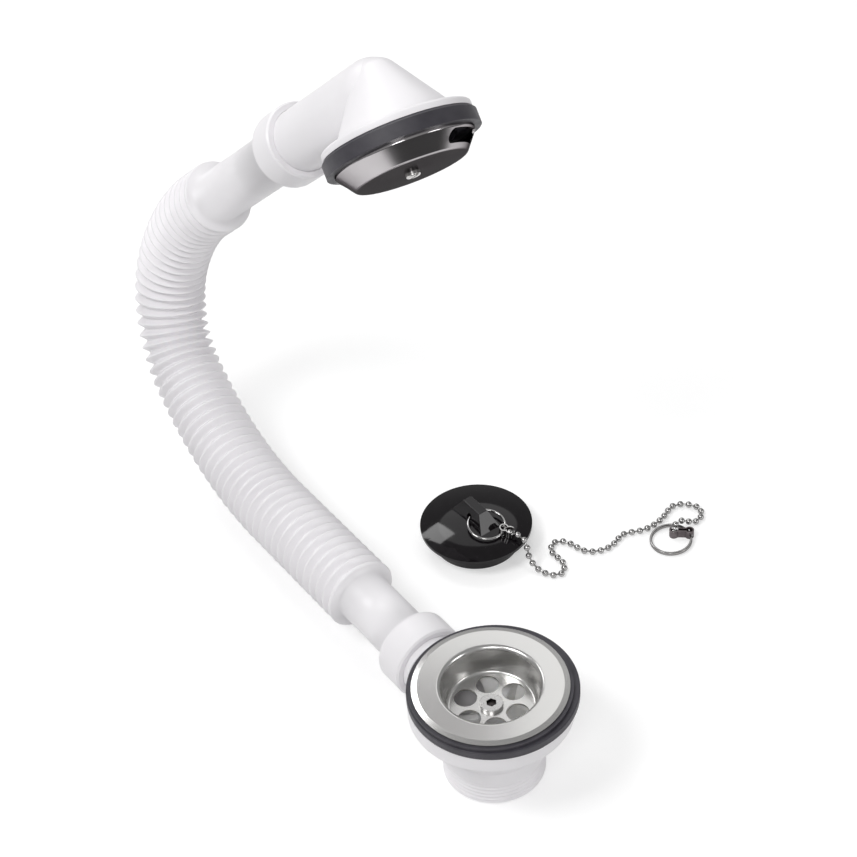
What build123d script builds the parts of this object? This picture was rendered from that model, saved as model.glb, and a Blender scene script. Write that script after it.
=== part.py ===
from build123d import *
import os
from math import acos, atan2, cos, hypot, radians, sin

# Bath waste and overflow: a strainer waste with a side branch, a corrugated hose,
# an overflow head, and the plug with its bead chain lying beside the waste.
# Millimetres. The origin is on the waste's axis, in the plane of the bath's floor
# between the two seals. +Z is up the waste and +Y runs out along the side branch.

# Stainless strainer
sheet = 0.9
strainer_flange_r = 36.0
strainer_bevel_w = 2.6
strainer_bevel_h = 0.6
strainer_mouth_r = 22.9
strainer_lip_r = 2.2
strainer_depth = 14.0
strainer_floor_r = 20.6
strainer_corner_r = 1.6
grid_hole_r = 5.35
grid_hole_count = 6
grid_pitch_r = 12.8
grid_turn = 2.0

# Waste screw and brass insert
screw_head_r = 5.5
screw_head_h = 1.8
screw_shank_r = 2.9
screw_tip_gap = 1.4
screw_edge_r = 0.4
hex_socket_flats = 4.4
hex_socket_depth = 1.3
screw_clearance = 0.1
insert_wall = 1.6
insert_length = 14.0

# Rubber seals of the waste
upper_seal_t = 1.6
upper_seal_r = 37.6
lower_seal_t = 4.2
lower_seal_r = 39.5
lower_seal_offset = 1.2
seal_bore_clearance = 2.0
seal_edge_r = 0.5

# White waste body
body_flange_r = 38.4
body_flange_t = 9.4
body_flange_edge_r = 2.0
bowl_inset = 2.4
neck_r = 24.2
neck_top_depth = 31.0
thread_top_depth = 38.5
thread_r = 23.9
tail_depth = 52.0
tail_bore_r = 20.4
tail_chamfer = 1.0
body_wall = 2.8
boss_r = 6.6
boss_gap = 1.2
boss_floor = 2.6
web_t = 3.0
web_count = 3
web_turn = 30.0
web_depth = 12.0

# Side branch and unions
branch_depth = 24.9
branch_r = 13.5
branch_bore_r = 11.0
spigot_r = 15.5
spigot_end = 60.0
spigot_length = 14.0
nut_r = 19.0
nut_length = 18.0
nut_cover = 10.6
nut_mouth_edge = 0.9
nut_shoulder_r = 4.2
union_seal_t = 2.0
union_clearance = 0.15

# Corrugated hose
cuff_r = 13.3
cuff_wall = 2.2
hose_flange_t = 2.0
crest_r = 18.4
root_r = 15.9
hose_wall = 1.3
shoulder_edge = 0.8
lower_cuff_end = 107.0
straight_end = 182.0
first_bend_r = 176.0
first_bend_turn = 32.0
second_bend_r = 54.5
second_bend_turn = 70.0
third_bend_r = 86.0
third_bend_turn = 33.0
bellows_tail = 15.0
upper_cuff_length = 76.3
corrugation_count = 52
hose_lean = 14.0

# Overflow elbow
elbow_tube_length = 77.2
elbow_tube_to_axis = 5.7
elbow_axis_h = 30.9
head_roll = 2.1
head_pitch = -2.3
elbow_bore_r = 12.9
elbow_wall = 2.6
elbow_flange_r = 35.4
elbow_flange_t = 3.6
elbow_flange_edge_r = 1.5
cone_inset = 7.1
cone_top_r = 9.9
cone_top_drop = 5.3
elbow_crown_drop = 1.9
overflow_boss_r = 5.4
overflow_web_t = 2.4
overflow_web_turn = 60.0
overflow_web_depth = 5.0

# Overflow gasket, cover and screw
gasket_t = 8.0
gasket_r = 36.5
gasket_bevel = 1.4
cover_rim_r = 33.0
cover_lip_h = 1.4
cover_lip_edge_r = 0.9
cover_front_r = 26.4
cover_edge_r = 1.8
cover_h = 9.6
cover_sheet = 0.8
window_length = 25.0
window_height = 5.4
window_from_rim = 4.7
window_turn = 211.0
overflow_head_r = 3.4
overflow_head_h = 2.2
overflow_head_edge_r = 0.9
overflow_shank_r = 2.4
overflow_slot_w = 1.1
overflow_slot_d = 1.0
overflow_insert_length = 9.0

# Plug
plug_x = 82.9
plug_y = 127.2
plug_r = 28.6
plug_rim_h = 9.4
plug_rim_t = 1.6
plug_dome_h = 4.6
skirt_top_r = 23.6
skirt_bottom_r = 22.4
plug_wall = 3.0
lug_length = 13.5
lug_w = 5.0
lug_h = 7.6
lug_end_slope = 0.7
lug_side_slope = 0.4
lug_root = 1.4
lug_edge_r = 0.3
lug_hole_r = 1.8
lug_hole_forward = 0.7
lug_hole_h = 2.6

# Rings, couplings and bead chain
plug_ring_r = 9.4
plug_ring_wire_r = 0.65
plug_ring_sag = 0.6
plug_ring_gap = 0.15
end_ring_r = 10.2
end_ring_w = 1.3
end_ring_h = 2.0
end_ring_x = 158.9
end_ring_y = 63.8
bead_r = 1.65
bead_pitch = 4.3
link_r = 0.45
link_root = 1.0
clasp_h = 4.4
clasp_wall = 0.6
clasp_clearance = 0.1
clasp_waist = 2.6
wire_bow = 0.55
plug_clasp_length = 8.0
plug_clasp_turn = 30.0
end_clasp_length = 12.6
end_clasp_bearing = -15.4
end_clasp_heading = 139.5
end_clasp_exit = -110.0

# The chain's way from the plug to the end ring: across, along and height above the ground
chain_route = [
    (91.5, 103.1, 15.3),
    (92.6, 98.6, 13.6),
    (91.6, 94.8, 8.6),
    (92.0, 91.2, 3.6),
    (93.6, 85.0, bead_r),
    (99.8, 78.7, bead_r),
    (105.2, 83.4, bead_r),
    (106.4, 95.4, bead_r),
    (111.7, 98.6, bead_r),
    (116.6, 93.6, bead_r),
    (119.4, 84.2, bead_r),
    (127.6, 79.0, bead_r),
    (135.0, 79.4, bead_r),
    (142.0, 81.5, bead_r),
    (149.9, 78.5, bead_r),
    (159.6, 77.4, bead_r),
    (167.8, 79.4, bead_r),
    (175.6, 82.0, bead_r),
    (182.6, 77.4, bead_r),
    (184.6, 72.6, bead_r),
    (180.6, 66.6, bead_r),
    (175.0, 66.2, 2.1),
    (171.0, 68.0, 4.3),
    (167.2, 68.5, 5.0),
]

full_turn = 360.0
strainer_top = upper_seal_t + strainer_bevel_h + sheet
grid_top = strainer_top - strainer_depth
body_top = -lower_seal_t
floor_z = -tail_depth
insert_r = screw_shank_r + screw_clearance + insert_wall
boss_run = sheet + boss_gap + insert_length

os.makedirs("parts", exist_ok=True)


def ring_piece(plane, outer_r, inner_r, height):
    """A flat ring that stands on the plane."""
    with BuildPart() as ring:
        with BuildSketch(plane):
            Circle(outer_r)
            Circle(inner_r, mode=Mode.SUBTRACT)
        extrude(amount=height)
    return ring


def finish(piece, name):
    """Label a finished piece and write it as its own node."""
    piece.part.label = name
    export_step(piece.part, f"parts/{name}.step")


# Strainer: one pressed sheet, from the bevelled rim over the lip into the cup
with BuildPart() as strainer:
    with BuildSketch(Plane.XZ):
        with BuildLine():
            FilletPolyline(
                (strainer_flange_r, upper_seal_t + sheet),
                (strainer_flange_r - strainer_bevel_w, strainer_top),
                (strainer_mouth_r, strainer_top),
                (strainer_floor_r, grid_top),
                (0, grid_top),
                radius=[sheet, strainer_lip_r, strainer_corner_r],
            )
            offset(amount=sheet, side=Side.LEFT)
        make_face()
    revolve(axis=Axis.Z)
    with Locations((0, 0, grid_top)):
        with PolarLocations(grid_pitch_r, grid_hole_count, start_angle=grid_turn):
            Hole(grid_hole_r)
        Hole(screw_shank_r + screw_clearance)
finish(strainer, "strainer")

# Strainer screw: button head with a hexagon socket
with BuildPart() as strainer_screw:
    with BuildSketch(Plane.XY.offset(grid_top)):
        Circle(screw_head_r)
    extrude(amount=screw_head_h)
    fillet(strainer_screw.edges().group_by(Axis.Z)[-1], screw_edge_r)
    with BuildSketch(Plane.XY.offset(grid_top + screw_head_h)):
        RegularPolygon(hex_socket_flats / 2, 6, major_radius=False)
    extrude(amount=-hex_socket_depth, mode=Mode.SUBTRACT)
    with BuildSketch(Plane.XY.offset(grid_top)):
        Circle(screw_shank_r)
    extrude(amount=-(boss_run - screw_tip_gap))
finish(strainer_screw, "strainer_screw")

# Brass insert in the body's boss
boss_top = grid_top - sheet - boss_gap
insert_plane = Plane.XY.offset(grid_top - boss_run)
waste_insert = ring_piece(insert_plane, insert_r, screw_shank_r + screw_clearance, insert_length)
finish(waste_insert, "waste_insert")

# Rubber seals: the lower one lies a little off centre, as it does in the assembled waste
seal_bore_r = strainer_mouth_r + sheet + seal_bore_clearance
upper_seal = ring_piece(Plane.XY, upper_seal_r, seal_bore_r, upper_seal_t)
finish(upper_seal, "upper_seal")

with BuildPart() as lower_seal:
    with BuildSketch(Plane.XY.offset(body_top)):
        with Locations((lower_seal_offset, 0)):
            Circle(lower_seal_r)
            Circle(seal_bore_r, mode=Mode.SUBTRACT)
    extrude(amount=lower_seal_t)
    fillet(lower_seal.edges().sort_by(SortBy.LENGTH)[-2:], seal_edge_r)
finish(lower_seal, "lower_seal")

# White waste body: flange, bowl and tail turned about the axis, then the branch and webs
bowl_top = body_top - body_flange_t
bowl_top_r = body_flange_r - bowl_inset
bowl_bore_r = bowl_top_r - body_wall
boss_bottom = boss_top - insert_length - boss_floor
branch_z = -branch_depth
branch_root = Plane(origin=(0, 0, branch_z), x_dir=(1, 0, 0), z_dir=(0, 1, 0))
spigot_start = spigot_end - spigot_length


def bowl_bore_at(z):
    """Inner radius of the bowl at height z."""
    share = (bowl_top - z) / (bowl_top + neck_top_depth)
    return bowl_bore_r + share * (tail_bore_r - bowl_bore_r)


with BuildPart() as waste_body:
    with BuildSketch(Plane.XZ):
        with BuildLine():
            Polyline(
                (0, body_top),
                (body_flange_r, body_top),
                (body_flange_r, bowl_top),
                (bowl_top_r, bowl_top),
                (neck_r, -neck_top_depth),
                (neck_r, -thread_top_depth),
                (thread_r, -thread_top_depth),
                (thread_r, floor_z),
                (0, floor_z),
                close=True,
            )
        make_face()
    revolve(axis=Axis.Z)
    flange_edges = waste_body.edges().filter_by(GeomType.CIRCLE).group_by(Axis.Z)[-2]
    fillet(flange_edges.sort_by(SortBy.LENGTH)[-1], body_flange_edge_r)
    chamfer(waste_body.edges().group_by(Axis.Z)[0], tail_chamfer)
    with BuildSketch(branch_root):
        Circle(branch_r)
    extrude(amount=spigot_end)
    with BuildSketch(branch_root.offset(spigot_start)):
        Circle(spigot_r)
    extrude(amount=spigot_length)
    with BuildSketch(Plane.XZ):
        with BuildLine():
            Polyline(
                (0, body_top),
                (bowl_bore_r, body_top),
                (bowl_bore_r, bowl_top),
                (tail_bore_r, -neck_top_depth),
                (tail_bore_r, floor_z),
                (0, floor_z),
                close=True,
            )
        make_face()
    revolve(axis=Axis.Z, mode=Mode.SUBTRACT)
    with BuildSketch(branch_root):
        Circle(branch_bore_r)
    extrude(amount=spigot_end, mode=Mode.SUBTRACT)
    with BuildSketch(Plane.XY.offset(boss_bottom)):
        Circle(boss_r)
    extrude(amount=boss_top - boss_bottom)
    web_top = boss_bottom + web_depth
    for web_index in range(web_count):
        angle = radians(web_turn + full_turn * web_index / web_count)
        outward = Vector(cos(angle), sin(angle), 0)
        web_plane = Plane(origin=(0, 0, 0), x_dir=outward, z_dir=outward.cross(Vector(0, 0, 1)))
        with BuildSketch(web_plane):
            with BuildLine():
                Polyline(
                    (0, boss_bottom),
                    (bowl_bore_at(boss_bottom) + body_wall / 2, boss_bottom),
                    (bowl_bore_at(web_top) + body_wall / 2, web_top),
                    (0, web_top),
                    close=True,
                )
            make_face()
        extrude(amount=web_t / 2, both=True)
    with BuildSketch(Plane.XY.offset(boss_top)):
        Circle(insert_r)
    extrude(amount=-insert_length, mode=Mode.SUBTRACT)
finish(waste_body, "waste_body")

# Hose path: out along the branch, then three bends up and over, in a leaning plane
lean = radians(hose_lean)
hose_plane = Plane(origin=(0, 0, branch_z), x_dir=(0, 1, 0), z_dir=(cos(lean), 0, -sin(lean)))
hose_start = spigot_end + union_seal_t
with BuildLine(hose_plane) as hose_line:
    lower_run = Line((hose_start, 0), (straight_end, 0))
    first_bend = JernArc(lower_run @ 1, lower_run % 1, first_bend_r, first_bend_turn)
    second_bend = JernArc(first_bend @ 1, first_bend % 1, second_bend_r, second_bend_turn)
    third_bend = JernArc(second_bend @ 1, second_bend % 1, third_bend_r, third_bend_turn)
    upper_run = Line(third_bend @ 1, third_bend @ 1 + (third_bend % 1) * (bellows_tail + upper_cuff_length))
hose_wire = hose_line.wire()
hose_length = hose_wire.length
hose_end = upper_run @ 1
hose_heading = upper_run % 1


def hose_section(station):
    """The plane across the hose at a distance along its path."""
    origin = hose_wire.position_at(station, position_mode=PositionMode.LENGTH)
    heading = hose_wire.tangent_at(station, position_mode=PositionMode.LENGTH)
    return Plane(origin=origin, x_dir=hose_plane.z_dir, z_dir=heading)


bellows_start = lower_cuff_end - hose_start
bellows_end = hose_length - upper_cuff_length
bellows_run = bellows_end - bellows_start - 4 * shoulder_edge
corrugation_pitch = bellows_run / corrugation_count


def hose_profile(wall):
    """Distances along the hose with its radius there, on the surface a wall inside the outer one."""
    step = 0 if wall == 0 else hose_wall
    cuff = cuff_r - (0 if wall == 0 else cuff_wall)
    first_crest = bellows_start + 2 * shoulder_edge
    profile = [(0, cuff), (bellows_start + step, cuff)]
    profile.append((bellows_start + step + shoulder_edge / 2, crest_r - wall - shoulder_edge))
    profile.append((first_crest + step, crest_r - wall))
    for index in range(corrugation_count):
        profile.append((first_crest + (index + 0.5) * corrugation_pitch, root_r - wall))
        profile.append((first_crest + (index + 1) * corrugation_pitch, crest_r - wall))
    last_station, last_radius = profile.pop()
    profile.append((last_station - step, last_radius))
    profile.append((bellows_end - step - shoulder_edge / 2, crest_r - wall - shoulder_edge))
    profile.append((bellows_end - step, cuff))
    profile.append((hose_length, cuff))
    return profile


# Overflow hose: one ruled loft over every crest and root, hollowed by a second one
with BuildPart() as overflow_hose:
    for station, radius in hose_profile(0):
        with BuildSketch(hose_section(station)):
            Circle(radius)
    loft(ruled=True)
    with BuildSketch(hose_section(0)):
        Circle(spigot_r)
    extrude(amount=hose_flange_t)
    with BuildSketch(hose_section(hose_length)):
        Circle(spigot_r)
    extrude(amount=-hose_flange_t)
    for station, radius in hose_profile(hose_wall):
        with BuildSketch(hose_section(station)):
            Circle(radius)
    loft(ruled=True, mode=Mode.SUBTRACT)
finish(overflow_hose, "overflow_hose")


def union_nut(mouth):
    """A union nut, from the plane of its mouth towards the hose."""
    along = Axis(mouth.origin, mouth.z_dir)
    with BuildPart() as nut:
        with BuildSketch(mouth):
            Circle(nut_r)
        extrude(amount=nut_length)
        fillet(nut.edges().group_by(along)[-1], nut_shoulder_r)
        chamfer(nut.edges().group_by(along)[0], nut_mouth_edge)
        with BuildSketch(mouth):
            Circle(spigot_r + union_clearance)
        extrude(amount=nut_cover + union_seal_t + hose_flange_t, mode=Mode.SUBTRACT)
        with BuildSketch(mouth):
            Circle(cuff_r + union_clearance)
        extrude(amount=nut_length, mode=Mode.SUBTRACT)
    return nut


# Unions: the same nut and flat seal at both ends of the hose
lower_union_nut = union_nut(branch_root.offset(spigot_end - nut_cover))
finish(lower_union_nut, "lower_union_nut")
lower_union_seal = ring_piece(branch_root.offset(spigot_end), spigot_r, branch_bore_r, union_seal_t)
finish(lower_union_seal, "lower_union_seal")

elbow_spigot = Plane(
    origin=hose_end + hose_heading * union_seal_t, x_dir=hose_plane.z_dir, z_dir=hose_heading * -1
)
upper_union_nut = union_nut(elbow_spigot.offset(-nut_cover))
finish(upper_union_nut, "upper_union_nut")
upper_union_seal = ring_piece(elbow_spigot, spigot_r, branch_bore_r, union_seal_t)
finish(upper_union_seal, "upper_union_seal")

# Overflow head: its axis crosses the inlet tube's, and its face looks back over the waste
tube_axis = Axis(elbow_spigot.origin, hose_heading)
tube_section = Plane(origin=elbow_spigot.origin, x_dir=hose_heading, z_dir=hose_plane.z_dir)
head_side = hose_plane.z_dir.rotate(Axis((0, 0, 0), hose_heading), head_roll)
face_normal = hose_heading.rotate(Axis((0, 0, 0), head_side), 90 + head_pitch)
head_centre = elbow_spigot.origin + hose_heading * (elbow_tube_length + elbow_tube_to_axis)
face = Plane(
    origin=head_centre + face_normal * elbow_axis_h,
    x_dir=head_side.cross(face_normal),
    z_dir=face_normal * -1,
)
face_axis = Axis(face.origin, face.z_dir)
face_section = Plane(origin=face.origin, x_dir=face.x_dir, z_dir=face.y_dir * -1)
elbow_top = elbow_axis_h + spigot_r - elbow_crown_drop
flange_back = gasket_t + elbow_flange_t

# Cone of the head: its wall keeps one thickness from the mouth to the crown
cone_base_r = elbow_flange_r - cone_inset
cone_top_h = elbow_top - cone_top_drop
cone_slope = atan2(cone_base_r - cone_top_r, cone_top_h - flange_back)
cone_wall_across = elbow_wall / cos(cone_slope)
overflow_mouth_r = cone_base_r - cone_wall_across
overflow_insert_r = overflow_shank_r + screw_clearance + insert_wall

with BuildPart() as overflow_elbow:
    with BuildSketch(face_section):
        with BuildLine():
            Polyline(
                (0, elbow_top),
                (0, gasket_t),
                (elbow_flange_r, gasket_t),
                (elbow_flange_r, flange_back),
                (cone_base_r, flange_back),
                (cone_top_r, cone_top_h),
            )
            TangentArc((0, elbow_top), (cone_top_r, cone_top_h), tangent=(1, 0))
        make_face()
    revolve(axis=face_axis)
    flange_rims = overflow_elbow.edges().filter_by(GeomType.CIRCLE).group_by(face_axis)[1]
    fillet(flange_rims.sort_by(SortBy.LENGTH)[-1], elbow_flange_edge_r)
    for radius, mode in ((spigot_r, Mode.ADD), (elbow_bore_r, Mode.SUBTRACT)):
        with BuildSketch(tube_section):
            with BuildLine():
                Polyline((elbow_tube_length, radius), (0, radius), (0, 0), (elbow_tube_length + radius, 0))
                CenterArc((elbow_tube_length, 0), radius, 0, 90)
            make_face()
        revolve(axis=tube_axis, mode=mode)
    with BuildSketch(face_section):
        with BuildLine():
            Polyline(
                (0, gasket_t),
                (overflow_mouth_r, gasket_t),
                (overflow_mouth_r, flange_back),
                (cone_top_r - cone_wall_across, cone_top_h),
                (0, elbow_top - elbow_wall),
                close=True,
            )
        make_face()
    revolve(axis=face_axis, mode=Mode.SUBTRACT)
    with BuildSketch(face.offset(gasket_t)):
        Circle(overflow_boss_r)
    extrude(amount=overflow_insert_length + boss_floor)
    with BuildSketch(face.offset(gasket_t)):
        for web_index in range(web_count):
            turn = overflow_web_turn + full_turn * web_index / web_count
            with Locations(Rotation(0, 0, turn)):
                Rectangle(overflow_mouth_r + elbow_wall / 2, overflow_web_t, align=(Align.MIN, Align.CENTER))
    extrude(amount=overflow_web_depth)
    with BuildSketch(face.offset(gasket_t)):
        Circle(overflow_insert_r)
    extrude(amount=overflow_insert_length, mode=Mode.SUBTRACT)
finish(overflow_elbow, "overflow_elbow")

overflow_insert = ring_piece(
    face.offset(gasket_t), overflow_insert_r, overflow_shank_r + screw_clearance, overflow_insert_length
)
finish(overflow_insert, "overflow_insert")

with BuildPart() as overflow_gasket:
    with BuildSketch(face):
        Circle(gasket_r)
        Circle(overflow_mouth_r, mode=Mode.SUBTRACT)
    extrude(amount=gasket_t)
    chamfer(overflow_gasket.edges().group_by(face_axis)[-1].sort_by(SortBy.LENGTH)[-1], gasket_bevel)
finish(overflow_gasket, "overflow_gasket")

# Overflow cover: one pressed sheet with a lip, a sloping wall and a flat front
front_z = -cover_h
with BuildPart() as overflow_faceplate:
    with BuildSketch(face_section):
        with BuildLine():
            FilletPolyline(
                (cover_rim_r, 0),
                (cover_rim_r, -cover_lip_h),
                (cover_front_r, front_z),
                (0, front_z),
                radius=[cover_lip_edge_r, cover_edge_r],
            )
            offset(amount=cover_sheet, side=Side.RIGHT)
        make_face()
    revolve(axis=face_axis)
    with BuildSketch(face.offset(front_z)):
        Circle(overflow_shank_r + screw_clearance)
    extrude(amount=cover_sheet, mode=Mode.SUBTRACT)
    for turn in (window_turn, window_turn + full_turn / 2):
        outward = face.x_dir * cos(radians(turn)) + face.y_dir * sin(radians(turn))
        window_plane = Plane(
            origin=face.origin - face.z_dir * window_from_rim, x_dir=face.z_dir.cross(outward), z_dir=outward
        )
        with BuildSketch(window_plane):
            SlotOverall(window_length, window_height)
        extrude(amount=cover_rim_r, mode=Mode.SUBTRACT)
finish(overflow_faceplate, "overflow_faceplate")

# Overflow screw: slotted pan head against the cover's front
with BuildPart() as overflow_screw:
    with BuildSketch(face.offset(front_z)):
        Circle(overflow_head_r)
    extrude(amount=-overflow_head_h)
    fillet(overflow_screw.edges().group_by(face_axis)[0], overflow_head_edge_r)
    with BuildSketch(face.offset(front_z - overflow_head_h)):
        Rectangle(2 * overflow_head_r, overflow_slot_w)
    extrude(amount=overflow_slot_d, mode=Mode.SUBTRACT)
    with BuildSketch(face.offset(front_z)):
        Circle(overflow_shank_r)
    extrude(amount=cover_h + gasket_t + overflow_insert_length - screw_tip_gap)
finish(overflow_screw, "overflow_screw")

# Plug: domed rim over a hollow skirt, with a tapered lug that has one hole across it
plug_base = Plane(origin=(plug_x, plug_y, floor_z), x_dir=(1, 0, 0), z_dir=(0, -1, 0))
plug_axis = Axis((plug_x, plug_y, floor_z), (0, 0, 1))
dome_edge = plug_rim_h + plug_rim_t
dome_top = dome_edge + plug_dome_h
dome_r = (plug_r**2 + plug_dome_h**2) / (2 * plug_dome_h)
lug_base = Plane(origin=(plug_x, plug_y, floor_z + dome_top), x_dir=(1, 0, 0), z_dir=(0, 0, 1))
lug_side = Plane(origin=lug_base.origin, x_dir=(0, 1, 0), z_dir=(1, 0, 0))
lug_base_w = lug_w + 2 * lug_side_slope * (lug_h + lug_root)
lug_base_length = lug_length + 2 * lug_end_slope * (lug_h + lug_root)

with BuildPart() as plug:
    with BuildSketch(plug_base):
        with BuildLine():
            Polyline(
                (0, dome_top),
                (0, plug_rim_h),
                (skirt_top_r - plug_wall, plug_rim_h),
                (skirt_bottom_r - plug_wall, 0),
                (skirt_bottom_r, 0),
                (skirt_top_r, plug_rim_h),
                (plug_r, plug_rim_h),
                (plug_r, dome_edge),
            )
            RadiusArc((plug_r, dome_edge), (0, dome_top), -dome_r)
        make_face()
    revolve(axis=plug_axis)
    with BuildSketch(lug_base.offset(-lug_root)):
        Rectangle(lug_base_w, lug_base_length)
    with BuildSketch(lug_base.offset(lug_h)):
        Rectangle(lug_w, lug_length)
    loft()
    fillet(plug.edges().group_by(Axis.Z)[-1], lug_edge_r)
    with BuildSketch(lug_side):
        with Locations((-lug_hole_forward, lug_hole_h)):
            Circle(lug_hole_r)
    extrude(amount=lug_base_w / 2, both=True, mode=Mode.SUBTRACT)
finish(plug, "plug")

# Plug ring: it hangs in the lug's hole and leans forward, its coupling resting on the dome
ring_hang = lug_hole_forward - plug_ring_sag
hole_level = dome_r + lug_hole_h
hang_to_centre = hypot(ring_hang, hole_level)
rest_level = dome_r + plug_ring_gap + clasp_wall + clasp_clearance + plug_ring_wire_r
lean_cosine = (hang_to_centre**2 + 4 * plug_ring_r**2 - rest_level**2) / (4 * plug_ring_r * hang_to_centre)
ring_bearing = atan2(-hole_level, ring_hang) - acos(lean_cosine)
across = Vector(1, 0, 0)
ring_down = Vector(0, cos(ring_bearing), sin(ring_bearing))
ring_normal = ring_down.cross(across)
ring_top = Vector(plug_x, plug_y - ring_hang, floor_z + dome_top + lug_hole_h)
ring_centre = ring_top + ring_down * plug_ring_r

with BuildPart() as plug_ring:
    with BuildSketch(Plane(origin=ring_top, x_dir=ring_down, z_dir=across)):
        Circle(plug_ring_wire_r)
    revolve(axis=Axis(ring_centre, ring_normal))
finish(plug_ring, "plug_ring")

# Couplings: a band bent into a figure of eight, one loop for a ring and one for the last bead
loop_bore_r = bead_r + clasp_clearance
loop_r = loop_bore_r + clasp_wall


def eight(half, radius, waist, mode):
    """The outline of a coupling: two round loops and the waist between them."""
    with Locations((-half, 0), (half, 0)):
        Circle(radius, mode=mode)
    Rectangle(2 * half, waist, mode=mode)


def loop_span(length):
    """The distance between the middles of a coupling's loops."""
    return length - 2 * loop_r


def wire_level(wire_h):
    """Height of a wire's middle above a coupling's middle plane, where it rests on the loop's sill."""
    return clasp_wall + clasp_clearance + wire_h / 2 - clasp_h / 2


def coupling(middle, length, wire_w, wire_h, wire_turn, exit_turn):
    """A coupling about its middle plane, with its ring loop at -X and its chain loop at +X."""
    half = loop_span(length) / 2
    link_gap = link_r + clasp_clearance
    wire_gap = wire_h / 2 + clasp_clearance
    with BuildPart() as clasp:
        with BuildSketch(middle.offset(-clasp_h / 2)):
            eight(half, loop_r, clasp_waist, Mode.ADD)
            eight(half, loop_bore_r, clasp_waist - 2 * clasp_wall, Mode.SUBTRACT)
        extrude(amount=clasp_h)
        with BuildSketch(middle.offset(wire_level(wire_h))):
            with Locations(Location((-half, 0), wire_turn)):
                Rectangle(2 * clasp_h, wire_w + 2 * clasp_clearance)
        extrude(amount=wire_gap, both=True, mode=Mode.SUBTRACT)
        with BuildSketch(middle.offset(-link_gap)):
            with Locations(Location((half, 0), exit_turn)):
                Rectangle(clasp_h, 2 * link_gap, align=(Align.MIN, Align.CENTER))
        extrude(amount=clasp_h, mode=Mode.SUBTRACT)
        with BuildSketch(middle.offset(link_gap)):
            with Locations(Location((half, 0), exit_turn)):
                Rectangle(clasp_h, 2 * loop_bore_r, align=(Align.MIN, Align.CENTER))
        extrude(amount=clasp_h, mode=Mode.SUBTRACT)
    return clasp


plug_wire_d = 2 * plug_ring_wire_r
clasp_angle = radians(plug_clasp_turn)
clasp_outward = across * sin(clasp_angle) + ring_down * cos(clasp_angle)
clasp_middle = (
    ring_centre
    + clasp_outward * (plug_ring_r + loop_span(plug_clasp_length) / 2)
    - ring_normal * wire_level(plug_wire_d)
)
plug_clasp_plane = Plane(origin=clasp_middle, x_dir=clasp_outward, z_dir=ring_normal)
plug_clasp = coupling(plug_clasp_plane, plug_clasp_length, plug_wire_d + wire_bow, plug_wire_d, 90, 0)
finish(plug_clasp, "plug_clasp")

# End ring: flat on the ground but for the side that the coupling lifts
ring_lift = clasp_wall + clasp_clearance
ring_tilt = atan2(ring_lift, 2 * end_ring_r)
bearing = radians(end_clasp_bearing)
ring_side = Vector(cos(bearing), sin(bearing), 0)
tilted_side = Vector(cos(bearing) * cos(ring_tilt), sin(bearing) * cos(ring_tilt), sin(ring_tilt))
end_ring_plane = Plane(
    origin=(end_ring_x, end_ring_y, floor_z + ring_lift / 2),
    x_dir=tilted_side,
    z_dir=tilted_side.cross(Vector(-sin(bearing), cos(bearing), 0)),
)
end_ring = ring_piece(end_ring_plane, end_ring_r + end_ring_w / 2, end_ring_r - end_ring_w / 2, end_ring_h)
finish(end_ring, "end_ring")

heading = radians(end_clasp_heading)
heading_dir = Vector(cos(heading), sin(heading), 0)
end_clasp_plane = Plane(
    origin=Vector(end_ring_x, end_ring_y, floor_z + clasp_h / 2)
    + ring_side * end_ring_r
    + heading_dir * (loop_span(end_clasp_length) / 2),
    x_dir=heading_dir,
    z_dir=(0, 0, 1),
)
end_wire_turn = end_clasp_bearing + 90 - end_clasp_heading
end_clasp = coupling(
    end_clasp_plane, end_clasp_length, end_ring_w + wire_bow, end_ring_h, end_wire_turn, end_clasp_exit
)
finish(end_clasp, "end_clasp")

# Bead chain: beads at an even spacing along the route, joined by short wire links
route = [Vector(x, y, floor_z + height) for x, y, height in chain_route]
first_bead = plug_clasp_plane.from_local_coords(Vector(loop_span(plug_clasp_length) / 2, 0, 0))
last_bead = end_clasp_plane.from_local_coords(Vector(loop_span(end_clasp_length) / 2, 0, 0))
with BuildLine() as chain_line:
    Spline(first_bead, *route, last_bead)
chain_wire = chain_line.wire()
link_count = round(chain_wire.length / bead_pitch)
bead_planes = []
for index in range(link_count + 1):
    along = chain_wire.tangent_at(index / link_count)
    side = along.cross(Vector(0, 0, 1)).normalized()
    centre = chain_wire.position_at(index / link_count)
    bead_planes.append(Plane(origin=centre, x_dir=side, z_dir=side.cross(along)))
link_planes = []
for start, end in zip(bead_planes, bead_planes[1:]):
    link_dir = (end.origin - start.origin).normalized()
    link_planes.append(Plane(origin=start.origin + link_dir * link_root, z_dir=link_dir))

with BuildPart() as bead_chain:
    with Locations(*bead_planes):
        Sphere(bead_r)
    with BuildSketch(*link_planes):
        Circle(link_r)
    extrude(amount=bead_pitch - 2 * link_root)
finish(bead_chain, "bead_chain")
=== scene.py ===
import math

import bmesh
import bpy
from mathutils import Matrix, Vector


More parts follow.
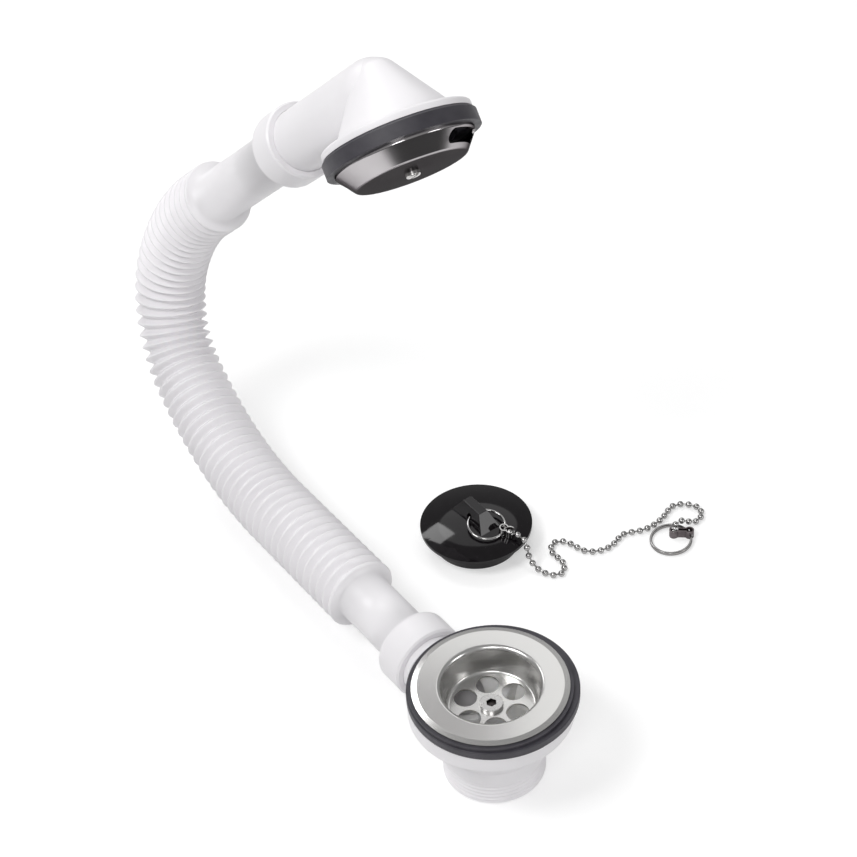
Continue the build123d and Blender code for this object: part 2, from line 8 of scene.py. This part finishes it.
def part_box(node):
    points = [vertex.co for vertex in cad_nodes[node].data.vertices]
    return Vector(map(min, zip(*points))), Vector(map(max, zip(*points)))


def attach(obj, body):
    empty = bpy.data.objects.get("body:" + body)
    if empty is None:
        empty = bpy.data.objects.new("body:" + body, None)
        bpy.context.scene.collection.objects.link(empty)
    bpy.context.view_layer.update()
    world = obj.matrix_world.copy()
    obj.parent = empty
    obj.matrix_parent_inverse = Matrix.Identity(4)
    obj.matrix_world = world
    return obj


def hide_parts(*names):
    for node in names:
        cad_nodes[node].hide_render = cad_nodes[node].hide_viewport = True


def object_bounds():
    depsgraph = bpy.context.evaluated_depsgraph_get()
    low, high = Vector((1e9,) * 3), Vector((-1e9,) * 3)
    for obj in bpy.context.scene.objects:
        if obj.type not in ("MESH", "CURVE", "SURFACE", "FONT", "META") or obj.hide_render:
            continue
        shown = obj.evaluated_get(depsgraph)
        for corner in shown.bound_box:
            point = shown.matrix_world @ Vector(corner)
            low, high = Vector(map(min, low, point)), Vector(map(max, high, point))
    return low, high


# Bath waste and overflow: finishes, a smooth corrugated hose, the tail's thread, a rounded end ring,
# soft studio light and the camera. Metres, in the frame of the CAD part.
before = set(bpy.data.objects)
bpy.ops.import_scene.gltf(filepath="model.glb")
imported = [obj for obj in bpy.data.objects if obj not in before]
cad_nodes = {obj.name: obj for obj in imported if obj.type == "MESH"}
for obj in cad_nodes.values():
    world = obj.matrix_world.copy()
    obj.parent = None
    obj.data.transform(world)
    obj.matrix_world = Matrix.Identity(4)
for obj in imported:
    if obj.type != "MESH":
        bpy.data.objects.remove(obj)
cad_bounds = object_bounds()
part_middle = (cad_bounds[0] + cad_bounds[1]) / 2.0

MM = 0.001

# Hose: the CAD part's route and sizes, with deeper grooves; each bend has a radius and the degrees it turns
BRANCH_Z = -24.9 * MM
HOSE_LEAN = math.radians(14.0)
HOSE_START = 62.0 * MM
LOWER_CUFF = 45.0 * MM
STRAIGHT_RUN = 120.0 * MM
BENDS = ((176.0 * MM, 32.0), (54.5 * MM, 70.0), (86.0 * MM, 33.0))
UPPER_BELLOWS = 15.0 * MM
UPPER_CUFF = 76.3 * MM
FLANGE_R = 15.5 * MM
FLANGE_T = 2.0 * MM
CUFF_R = 13.3 * MM
CUFF_WALL = 2.2 * MM
CREST_R = 18.4 * MM
ROOT_R = 14.9 * MM
HOSE_WALL = 1.3 * MM
SHOULDER = 0.8 * MM
CORRUGATIONS = 52
CREST_SHARPNESS = 0.88
OUTER_STEPS = 12
INNER_STEPS = 4
HOSE_SIDES = 72

# Tail thread: rounded pipe thread, eleven turns to the inch
THREAD_R = 23.9 * MM
THREAD_TOP = -38.5 * MM
THREAD_BOTTOM = -51.0 * MM
THREAD_PITCH = 2.309 * MM
THREAD_DEPTH = 1.1 * MM
THREAD_FADE = 1.4 * MM
THREAD_SIDES = 120
THREAD_ROWS = 70
CYLINDER_SLACK = 0.05 * MM

# Inside of the waste body, which gets a paler plastic as painted light: the tail's bore, and the bowl's
# faces that don't look outwards
TAIL_INSIDE_R = 21.5 * MM
BOWL_R = 30.0 * MM
OUTWARD = 0.2

# End ring: the CAD ring's place and size, with rounded edges
RING_R = 10.2 * MM
RING_WIDTH = 1.3 * MM
RING_HEIGHT = 2.0 * MM
RING_LIFT = 0.7 * MM
RING_BEARING = math.radians(-15.4)
RING_SIDES = 96
RING_SECTION = 24
RING_FULLNESS = 0.6

# Finishes
SHADE_LOW = 0.3
SHADE_HIGH = 0.7
NOISE_DETAIL = 3.0
POLISH_FINENESS = 3.0
PLASTIC_DEPTH = 9.0 * MM
WALL_MARKS = 0.8
# Screw socket: a disc of painted shade inside the hexagon socket, its radius from the axis and its depth
# under the head's rim
SOCKET_R = 2.6 * MM
SOCKET_EDGE = 0.15 * MM
SCREW_COLOUR = (0.52, 0.515, 0.51, 1.0)
SOCKET_PAINTED_SHADE = (0.05, 0.045, 0.045, 1.0)

# Floor and light: the floor is white under the part and turns grey in front of it
FLOOR_SIZE = 8.0
FLOOR_LIFT = 0.38
FLOOR_FRONT = (0.0, -1.0, 0.0)
FLOOR_WHITE = (0.71, 0.71, 0.71)
FLOOR_GREY = (0.08, 0.08, 0.08)
WHITE_TO = 0.11
GREY_FROM = 0.5
WORLD_LEVEL = 0.36
DIFFUSE_BOUNCES = 8

# Camera: where the photograph was taken from
CAMERA_AT = Vector((-419.64, -616.68, 816.70)) * MM
CAMERA_RIGHT = Vector((0.81441, -0.57793, -0.05231))
CAMERA_UP = Vector((0.41532, 0.51755, 0.74810))
FOCAL_PIXELS = 2435.0
PHOTO_PIXELS = 857
SENSOR_MM = 36.0


def simple_material(name):
    """A material with one principled shader; returns it with its tree and shader."""
    material = bpy.data.materials.new(name)
    material.use_nodes = True
    tree = material.node_tree
    shader = tree.nodes["Principled BSDF"]
    return material, tree, shader


def noise(tree, scale):
    """A noise texture in the object's own coordinates."""
    coords = tree.nodes.new("ShaderNodeTexCoord")
    texture = tree.nodes.new("ShaderNodeTexNoise")
    texture.inputs["Scale"].default_value = scale
    texture.inputs["Detail"].default_value = NOISE_DETAIL
    tree.links.new(coords.outputs["Object"], texture.inputs["Vector"])
    return texture.outputs["Fac"]


def combine(tree, operation, first, second):
    """The sum, product or like result of two outputs."""
    node = tree.nodes.new("ShaderNodeMath")
    node.operation = operation
    tree.links.new(first, node.inputs[0])
    tree.links.new(second, node.inputs[1])
    return node.outputs["Value"]


def below(tree, value, limit):
    """One where a value is under a limit, and zero elsewhere."""
    test = tree.nodes.new("ShaderNodeMath")
    test.operation = "LESS_THAN"
    test.inputs[1].default_value = limit
    tree.links.new(value, test.inputs[0])
    return test.outputs["Value"]


def vary_colour(tree, shader, first, second, source):
    """Base colour that goes from a first shade to a second one as the source rises."""
    ramp = tree.nodes.new("ShaderNodeValToRGB")
    ramp.color_ramp.elements[0].position = SHADE_LOW
    ramp.color_ramp.elements[0].color = (*first, 1.0)
    ramp.color_ramp.elements[1].position = SHADE_HIGH
    ramp.color_ramp.elements[1].color = (*second, 1.0)
    tree.links.new(source, ramp.inputs["Fac"])
    tree.links.new(ramp.outputs["Color"], shader.inputs["Base Color"])


def vary_roughness(tree, shader, low, high, source):
    """Roughness that drifts between two values."""
    spread = tree.nodes.new("ShaderNodeMapRange")
    spread.inputs["To Min"].default_value = low
    spread.inputs["To Max"].default_value = high
    tree.links.new(source, spread.inputs["Value"])
    tree.links.new(spread.outputs["Result"], shader.inputs["Roughness"])


def add_bump(tree, shader, depth, strength, source):
    """Fine relief from a texture."""
    bump = tree.nodes.new("ShaderNodeBump")
    bump.inputs["Distance"].default_value = depth
    bump.inputs["Strength"].default_value = strength
    tree.links.new(source, bump.inputs["Height"])
    tree.links.new(bump.outputs["Normal"], shader.inputs["Normal"])


def white_plastic(name, first, second, glow):
    """Bright moulded plastic with a soft sheen; glow is how much light comes through its wall."""
    material, tree, shader = simple_material(name)
    vary_colour(tree, shader, first, second, noise(tree, scale=30.0))
    vary_roughness(tree, shader, low=0.32, high=0.42, source=noise(tree, scale=160.0))
    add_bump(tree, shader, depth=0.04 * MM, strength=0.25, source=noise(tree, scale=900.0))
    shader.inputs["Specular IOR Level"].default_value = 0.4
    shader.inputs["Subsurface Weight"].default_value = glow
    shader.inputs["Subsurface Radius"].default_value = (1.0, 1.0, 0.95)
    shader.inputs["Subsurface Scale"].default_value = PLASTIC_DEPTH
    return material


def outer_plastic():
    """The white of the mouldings' outsides."""
    return white_plastic("white_plastic", first=(0.82, 0.805, 0.825), second=(0.85, 0.835, 0.855), glow=0.0)


def inside_plastic_painted_light():
    """The waste body's inside: paler than the outside as painted light, and with a subsurface glow from
    light that comes through the wall.
    """
    return white_plastic("body_inside_painted_light", first=(0.96, 0.945, 0.91), second=(0.98, 0.965, 0.93), glow=1.0)


def seal_rubber():
    """Dark grey rubber with a faint bloom."""
    material, tree, shader = simple_material("seal_rubber")
    bloom = noise(tree, scale=90.0)
    vary_colour(tree, shader, first=(0.028, 0.026, 0.034), second=(0.048, 0.045, 0.055), source=bloom)
    vary_roughness(tree, shader, low=0.42, high=0.6, source=noise(tree, scale=240.0))
    add_bump(tree, shader, depth=0.05 * MM, strength=0.3, source=noise(tree, scale=1200.0))
    return material


def gloss_black():
    """Black plug with a high gloss and faint specks."""
    material, tree, shader = simple_material("gloss_black")
    specks = noise(tree, scale=200.0)
    vary_colour(tree, shader, first=(0.004, 0.003, 0.004), second=(0.006, 0.005, 0.006), source=specks)
    vary_roughness(tree, shader, low=0.04, high=0.09, source=noise(tree, scale=120.0))
    shader.inputs["Specular IOR Level"].default_value = 0.28
    return material


def ring_distance(tree):
    """Distance from the waste's axis plus a share of the height, so marks run round flange and cup."""
    coords = tree.nodes.new("ShaderNodeTexCoord")
    flatten = tree.nodes.new("ShaderNodeVectorMath")
    flatten.operation = "MULTIPLY"
    flatten.inputs[1].default_value = (1.0, 1.0, 0.0)
    length = tree.nodes.new("ShaderNodeVectorMath")
    length.operation = "LENGTH"
    split = tree.nodes.new("ShaderNodeSeparateXYZ")
    add_height = tree.nodes.new("ShaderNodeMath")
    add_height.operation = "MULTIPLY_ADD"
    add_height.inputs[1].default_value = WALL_MARKS
    tree.links.new(coords.outputs["Object"], flatten.inputs[0])
    tree.links.new(coords.outputs["Object"], split.inputs[0])
    tree.links.new(flatten.outputs["Vector"], length.inputs[0])
    tree.links.new(split.outputs["Z"], add_height.inputs[0])
    tree.links.new(length.outputs["Value"], add_height.inputs[2])
    return add_height.outputs["Value"]


def brushed_stainless():
    """Stainless sheet with fine marks that run round the waste."""
    material, tree, shader = simple_material("brushed_stainless")
    shader.inputs["Metallic"].default_value = 1.0
    rings = tree.nodes.new("ShaderNodeTexNoise")
    rings.noise_dimensions = "1D"
    rings.inputs["Scale"].default_value = 4000.0
    rings.inputs["Detail"].default_value = 4.0
    tree.links.new(ring_distance(tree), rings.inputs["W"])
    marks = rings.outputs["Fac"]
    vary_colour(tree, shader, first=(0.57, 0.565, 0.555), second=(0.61, 0.605, 0.595), source=marks)
    vary_roughness(tree, shader, low=0.22, high=0.28, source=marks)
    add_bump(tree, shader, depth=0.02 * MM, strength=0.15, source=marks)
    return material


def metal(name, first, second, low, high, scale, edge=1.0):
    """A metal of slightly uneven colour and polish; edge dims it where it is seen at a low angle."""
    material, tree, shader = simple_material(name)
    shader.inputs["Metallic"].default_value = 1.0
    shader.inputs["Specular Tint"].default_value = (edge, edge, edge, 1.0)
    vary_colour(tree, shader, first, second, noise(tree, scale))
    vary_roughness(tree, shader, low, high, noise(tree, scale * POLISH_FINENESS))
    return material


def screw_steel():
    """Satin steel of the cover's screw."""
    shades = {"first": (0.55, 0.54, 0.53), "second": (0.66, 0.65, 0.64)}
    return metal("screw_steel", **shades, low=0.25, high=0.35, scale=150.0)


def insert_brass():
    """Satin brass of the threaded inserts."""
    shades = {"first": (0.55, 0.38, 0.16), "second": (0.64, 0.46, 0.21)}
    return metal("insert_brass", **shades, low=0.3, high=0.4, scale=150.0)


def bead_nickel():
    """Bright nickel of the chain, the plug's ring and its coupling."""
    shades = {"first": (0.36, 0.355, 0.355), "second": (0.42, 0.415, 0.41)}
    return metal("bead_nickel", **shades, low=0.03, high=0.08, scale=200.0, edge=0.6)


def ring_nickel():
    """Duller nickel of the end ring."""
    shades = {"first": (0.25, 0.245, 0.245), "second": (0.30, 0.295, 0.29)}
    return metal("ring_nickel", **shades, low=0.1, high=0.18, scale=200.0, edge=0.5)


def dark_steel():
    """Dull dark steel of the end coupling."""
    shades = {"first": (0.09, 0.075, 0.08), "second": (0.16, 0.14, 0.145)}
    return metal("dark_steel", **shades, low=0.28, high=0.42, scale=300.0)


def cover_steel():
    """Bright steel of the overflow's cover, dark where it is seen at a low angle."""
    shades = {"first": (0.44, 0.42, 0.43), "second": (0.50, 0.48, 0.49)}
    return metal("cover_steel", **shades, low=0.1, high=0.16, scale=60.0, edge=0.1)


def socket_screw(head_top):
    """Satin steel screw on the waste's axis, with painted shade inside its hexagon socket."""
    material, tree, shader = simple_material("socket_screw")
    shader.inputs["Metallic"].default_value = 1.0
    coords = tree.nodes.new("ShaderNodeTexCoord")
    split = tree.nodes.new("ShaderNodeSeparateXYZ")
    tree.links.new(coords.outputs["Object"], split.inputs[0])
    squares = [combine(tree, "MULTIPLY", split.outputs[side], split.outputs[side]) for side in ("X", "Y")]
    # Painted shade: the socket colour where a point is near the axis and under the head's rim
    near_axis = below(tree, combine(tree, "ADD", *squares), SOCKET_R * SOCKET_R)
    under_rim = below(tree, split.outputs["Z"], head_top - SOCKET_EDGE)
    colour = tree.nodes.new("ShaderNodeMix")
    colour.data_type = "RGBA"
    colour.inputs["A"].default_value = SCREW_COLOUR
    colour.inputs["B"].default_value = SOCKET_PAINTED_SHADE
    tree.links.new(combine(tree, "MULTIPLY", near_axis, under_rim), colour.inputs["Factor"])
    tree.links.new(colour.outputs["Result"], shader.inputs["Base Color"])
    vary_roughness(tree, shader, low=0.22, high=0.34, source=noise(tree, scale=450.0))
    return material


def finishes():
    """The material of each CAD node."""
    white = outer_plastic()
    rubber = seal_rubber()
    brass = insert_brass()
    nickel = bead_nickel()
    return {
        "strainer": brushed_stainless(),
        "strainer_screw": socket_screw(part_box("strainer_screw")[1].z),
        "overflow_screw": screw_steel(),
        "waste_insert": brass,
        "overflow_insert": brass,
        "upper_seal": rubber,
        "lower_seal": rubber,
        "overflow_gasket": rubber,
        "lower_union_seal": rubber,
        "upper_union_seal": rubber,
        "waste_body": white,
        "lower_union_nut": white,
        "overflow_hose": white,
        "upper_union_nut": white,
        "overflow_elbow": white,
        "overflow_faceplate": cover_steel(),
        "plug": gloss_black(),
        "plug_ring": nickel,
        "plug_clasp": nickel,
        "bead_chain": nickel,
        "end_ring": ring_nickel(),
        "end_clasp": dark_steel(),
    }


def dress(piece, *coats):
    """Give a piece its materials, in the order of its faces' indices."""
    piece.data.materials.clear()
    for coat in coats:
        piece.data.materials.append(coat)


def smooth_mesh(name, vertices, faces):
    """A smooth shaded mesh."""
    mesh = bpy.data.meshes.new(name)
    mesh.from_pydata(vertices, [], faces)
    mesh.validate()
    mesh.shade_smooth()
    return mesh


def add_piece(name, mesh):
    """An object in the scene that shows a mesh."""
    piece = bpy.data.objects.new(name, mesh)
    bpy.context.scene.collection.objects.link(piece)
    return piece


def full_turn(steps):
    """Evenly spaced angles round a circle."""
    return [math.tau * step / steps for step in range(steps)]


def ring_quads(rings, sides, closed):
    """Faces between neighbouring rings of vertices; a closed skin also joins the last ring to the first."""
    faces = []
    for ring in range(rings if closed else rings - 1):
        here, there = ring * sides, (ring + 1) % rings * sides
        for index in range(sides):
            after = (index + 1) % sides
            faces.append((here + index, there + index, there + after, here + after))
    return faces


# Hose route: straight, three bends and straight again, in a leaning plane
HOSE_ACROSS = Vector((0.0, 1.0, 0.0))
HOSE_UP = Vector((math.sin(HOSE_LEAN), 0.0, math.cos(HOSE_LEAN)))
HOSE_NORMAL = HOSE_ACROSS.cross(HOSE_UP)
HOSE_ORIGIN = Vector((0.0, 0.0, BRANCH_Z))


def hose_runs():
    """Each stretch of the route: its length, and its bend radius or None where it is straight."""
    runs = [(STRAIGHT_RUN, None)]
    runs += [(radius * math.radians(turn), radius) for radius, turn in BENDS]
    runs.append((UPPER_BELLOWS + UPPER_CUFF, None))
    return runs


HOSE_LENGTH = sum(length for length, radius in hose_runs())


def hose_station(distance):
    """The point on the hose's axis at a distance along it, and the direction there."""
    along, up, heading = HOSE_START, 0.0, 0.0
    left = distance
    for length, radius in hose_runs():
        step = min(left, length)
        if radius is None:
            along += step * math.cos(heading)
            up += step * math.sin(heading)
        else:
            turned = heading + step / radius
            along += radius * (math.sin(turned) - math.sin(heading))
            up += radius * (math.cos(heading) - math.cos(turned))
            heading = turned
        left -= step
        if left <= 0.0:
            break
    point = HOSE_ORIGIN + HOSE_ACROSS * along + HOSE_UP * up
    return point, HOSE_ACROSS * math.cos(heading) + HOSE_UP * math.sin(heading)


def hose_outline(inset, steps):
    """Distances along the hose with its radius there; inset is zero outside and the wall inside."""
    inside = inset > 0.0
    cuff = CUFF_R - CUFF_WALL if inside else CUFF_R
    flange = cuff if inside else FLANGE_R
    crest, root = CREST_R - inset, ROOT_R - inset
    start, end = LOWER_CUFF + inset, HOSE_LENGTH - UPPER_CUFF - inset
    first, last = start + 2.0 * SHOULDER, end - 2.0 * SHOULDER
    outline = [(0.0, flange), (FLANGE_T, flange), (FLANGE_T, cuff), (start, cuff)]
    outline += [(start, crest - SHOULDER), (start + SHOULDER, crest)]
    for index in range(CORRUGATIONS * steps + 1):
        distance = first + (last - first) * index / (CORRUGATIONS * steps)
        wave = math.cos(math.tau * index / steps)
        lift = 0.5 + 0.5 * math.asin(CREST_SHARPNESS * wave) / math.asin(CREST_SHARPNESS)
        outline.append((distance, root + (crest - root) * lift))
    outline += [(end - SHOULDER, crest), (end, crest - SHOULDER)]
    outline += [(end, cuff), (HOSE_LENGTH - FLANGE_T, cuff)]
    outline += [(HOSE_LENGTH - FLANGE_T, flange), (HOSE_LENGTH, flange)]
    return outline


def smooth_hose():
    """The corrugated hose with rounded crests, outside and inside, as one closed skin."""
    outline = hose_outline(0.0, OUTER_STEPS)
    outline += reversed(hose_outline(HOSE_WALL, INNER_STEPS))
    vertices = []
    for distance, radius in outline:
        centre, heading = hose_station(distance)
        side = HOSE_NORMAL.cross(heading)
        for angle in full_turn(HOSE_SIDES):
            outward = HOSE_NORMAL * math.cos(angle) + side * math.sin(angle)
            vertices.append(centre + outward * radius)
    faces = ring_quads(len(outline), HOSE_SIDES, closed=True)
    return add_piece("hose_skin", smooth_mesh("hose_skin", vertices, faces))


def thread_fade(height):
    """Zero at both ends of the thread and one along its middle."""
    room = min(THREAD_TOP - height, height - THREAD_BOTTOM) / THREAD_FADE
    share = min(max(room, 0.0), 1.0)
    return share * share * (3.0 - 2.0 * share)


def tail_thread():
    """A rounded right-hand thread cut into the tail."""
    vertices = []
    for row in range(THREAD_ROWS + 1):
        height = THREAD_TOP + (THREAD_BOTTOM - THREAD_TOP) * row / THREAD_ROWS
        depth = THREAD_DEPTH * thread_fade(height)
        for angle in full_turn(THREAD_SIDES):
            phase = math.tau * height / THREAD_PITCH - angle
            radius = THREAD_R - depth * (0.5 - 0.5 * math.cos(phase))
            vertices.append((radius * math.cos(angle), radius * math.sin(angle), height))
    return smooth_mesh("tail_thread", vertices, ring_quads(THREAD_ROWS + 1, THREAD_SIDES, closed=False))


def on_thread(vertex):
    """Whether a vertex of the body lies on the tail's plain cylinder."""
    radius = math.hypot(vertex.co.x, vertex.co.y)
    in_span = THREAD_BOTTOM - CYLINDER_SLACK < vertex.co.z < THREAD_TOP + CYLINDER_SLACK
    return in_span and abs(radius - THREAD_R) < CYLINDER_SLACK


def threaded_body():
    """The waste body's own surface, with the thread in place of the tail's plain cylinder."""
    mesh = cad_nodes["waste_body"].data.copy()
    thread = tail_thread()
    work = bmesh.new()
    work.from_mesh(mesh)
    plain = [face for face in work.faces if all(on_thread(vertex) for vertex in face.verts)]
    bmesh.ops.delete(work, geom=plain, context="FACES")
    work.from_mesh(thread)
    work.to_mesh(mesh)
    work.free()
    bpy.data.meshes.remove(thread)
    return add_piece("body_skin", mesh)


def is_inside(face):
    """Whether a face of the body lies in the tail's bore, or in the bowl and doesn't look outwards."""
    radius = math.hypot(face.center.x, face.center.y)
    outward = face.normal.x * face.center.x + face.normal.y * face.center.y
    return radius < TAIL_INSIDE_R or radius < BOWL_R and outward < OUTWARD * radius


def coat_inside(piece):
    """Put a body's second material, the paler painted-light plastic, on the faces inside it."""
    for face in piece.data.polygons:
        face.material_index = 1 if is_inside(face) else 0


def fuller(share):
    """A share from minus one to one, pushed towards its ends, so an oval becomes a rounded box."""
    return math.copysign(abs(share) ** RING_FULLNESS, share)


def rounded_ring(node_name):
    """A ring where a CAD ring lies, tilted as it is by the coupling, with rounded edges."""
    low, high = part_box(node_name)
    centre = (low + high) / 2.0
    tilt = math.atan2(RING_LIFT, 2.0 * RING_R)
    across = Vector((-math.sin(RING_BEARING), math.cos(RING_BEARING), 0.0))
    level = Vector((math.cos(RING_BEARING), math.sin(RING_BEARING), 0.0))
    along = level * math.cos(tilt) + Vector((0.0, 0.0, math.sin(tilt)))
    normal = along.cross(across)
    vertices = []
    for angle in full_turn(RING_SIDES):
        outward = along * math.cos(angle) + across * math.sin(angle)
        for turn in full_turn(RING_SECTION):
            radius = RING_R + RING_WIDTH / 2.0 * fuller(math.cos(turn))
            height = RING_HEIGHT / 2.0 * fuller(math.sin(turn))
            vertices.append(centre + outward * radius + normal * height)
    faces = ring_quads(RING_SIDES, RING_SECTION, closed=True)
    return add_piece("ring_skin", smooth_mesh("ring_skin", vertices, faces))


def seen_ray(tree):
    """One for what is seen straight, in a mirror or through glass, and zero for light that falls."""
    path = tree.nodes.new("ShaderNodeLightPath")
    mirrored = combine(tree, "MAXIMUM", path.outputs["Is Camera Ray"], path.outputs["Is Glossy Ray"])
    return combine(tree, "MAXIMUM", mirrored, path.outputs["Is Transmission Ray"])


def front_share(tree):
    """Zero on the white floor under the object, and rising to one where it turns grey in front."""
    coords = tree.nodes.new("ShaderNodeTexCoord")
    along = tree.nodes.new("ShaderNodeVectorMath")
    along.operation = "DOT_PRODUCT"
    along.inputs[1].default_value = FLOOR_FRONT
    share = tree.nodes.new("ShaderNodeMapRange")
    share.inputs["From Min"].default_value = WHITE_TO
    share.inputs["From Max"].default_value = GREY_FROM
    tree.links.new(coords.outputs["Object"], along.inputs[0])
    tree.links.new(along.outputs["Value"], share.inputs["Value"])
    return share.outputs["Result"]


def floor_material():
    """White that keeps the object's soft shadow, and grey further in front."""
    material, tree, shader = simple_material("floor_white")
    front = front_share(tree)
    vary_colour(tree, shader, FLOOR_WHITE, FLOOR_GREY, front)
    shader.inputs["Roughness"].default_value = 0.9
    shader.inputs["Specular IOR Level"].default_value = 0.0
    shader.inputs["Emission Color"].default_value = (1.0, 1.0, 1.0, 1.0)
    white_part = tree.nodes.new("ShaderNodeMapRange")
    white_part.inputs["To Min"].default_value = FLOOR_LIFT
    white_part.inputs["To Max"].default_value = 0.0
    tree.links.new(front, white_part.inputs["Value"])
    lift = combine(tree, "MULTIPLY", white_part.outputs["Result"], seen_ray(tree))
    tree.links.new(lift, shader.inputs["Emission Strength"])
    return material


def pale_floor(height):
    """A plain level floor at a height."""
    half = FLOOR_SIZE / 2.0
    corners = [(x, y, height) for x, y in ((-half, -half), (half, -half), (half, half), (-half, half))]
    floor = add_piece("floor", smooth_mesh("floor", corners, [(0, 1, 2, 3)]))
    dress(floor, floor_material())


def plain_world():
    """Soft even light at a plain level from all round."""
    world = bpy.data.worlds.new("studio")
    bpy.context.scene.world = world
    world.use_nodes = True
    light = world.node_tree.nodes["Background"]
    light.inputs["Color"].default_value = (1.0, 1.0, 1.0, 1.0)
    light.inputs["Strength"].default_value = WORLD_LEVEL


def soft_lamp(name, shape, offset, width, watts):
    """A square or round soft box, placed from the part's middle and aimed at it."""
    lamp = bpy.data.lights.new(name, "AREA")
    lamp.shape = shape
    lamp.size = width
    lamp.energy = watts
    holder = bpy.data.objects.new(name, lamp)
    holder.location = part_middle + Vector(offset)
    holder.rotation_euler = (-Vector(offset)).to_track_quat("-Z", "Y").to_euler()
    bpy.context.scene.collection.objects.link(holder)


def photo_camera():
    """The camera at the photograph's place and lens."""
    data = bpy.data.cameras.new("photo_camera")
    data.sensor_width = SENSOR_MM
    data.lens = FOCAL_PIXELS * SENSOR_MM / PHOTO_PIXELS
    camera = bpy.data.objects.new("photo_camera", data)
    right = CAMERA_RIGHT.normalized()
    back = right.cross(CAMERA_UP).normalized()
    turn = Matrix((right, back.cross(right), back)).transposed()
    camera.matrix_world = Matrix.Translation(CAMERA_AT) @ turn.to_4x4()
    bpy.context.scene.collection.objects.link(camera)
    bpy.context.scene.camera = camera


materials = finishes()
for node_name, node in cad_nodes.items():
    dress(node, materials[node_name])

hose_skin = smooth_hose()
dress(hose_skin, materials["overflow_hose"])
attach(hose_skin, "root")
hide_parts("overflow_hose")

body_skin = threaded_body()
dress(body_skin, materials["waste_body"], inside_plastic_painted_light())
coat_inside(body_skin)
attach(body_skin, "root")
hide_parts("waste_body")

ring_skin = rounded_ring("end_ring")
dress(ring_skin, materials["end_ring"])
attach(ring_skin, "root")
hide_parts("end_ring")

pale_floor(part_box("waste_body")[0].z)
plain_world()
soft_lamp("key", "SQUARE", offset=(-0.95, 0.1, 1.3), width=0.6, watts=10.5)
soft_lamp("back", "SQUARE", offset=(0.0, 1.05, 1.05), width=0.45, watts=4.0)
soft_lamp("panel", "DISK", offset=(0.62, 0.85, 1.15), width=1.2, watts=3.6)
soft_lamp("front", "DISK", offset=(-0.6, -0.75, 0.8), width=0.4, watts=3.3)
soft_lamp("fill", "SQUARE", offset=(0.65, -1.3, 0.45), width=0.5, watts=4.0)
photo_camera()

bpy.context.scene.view_settings.view_transform = "Standard"
bpy.context.scene.cycles.diffuse_bounces = DIFFUSE_BOUNCES
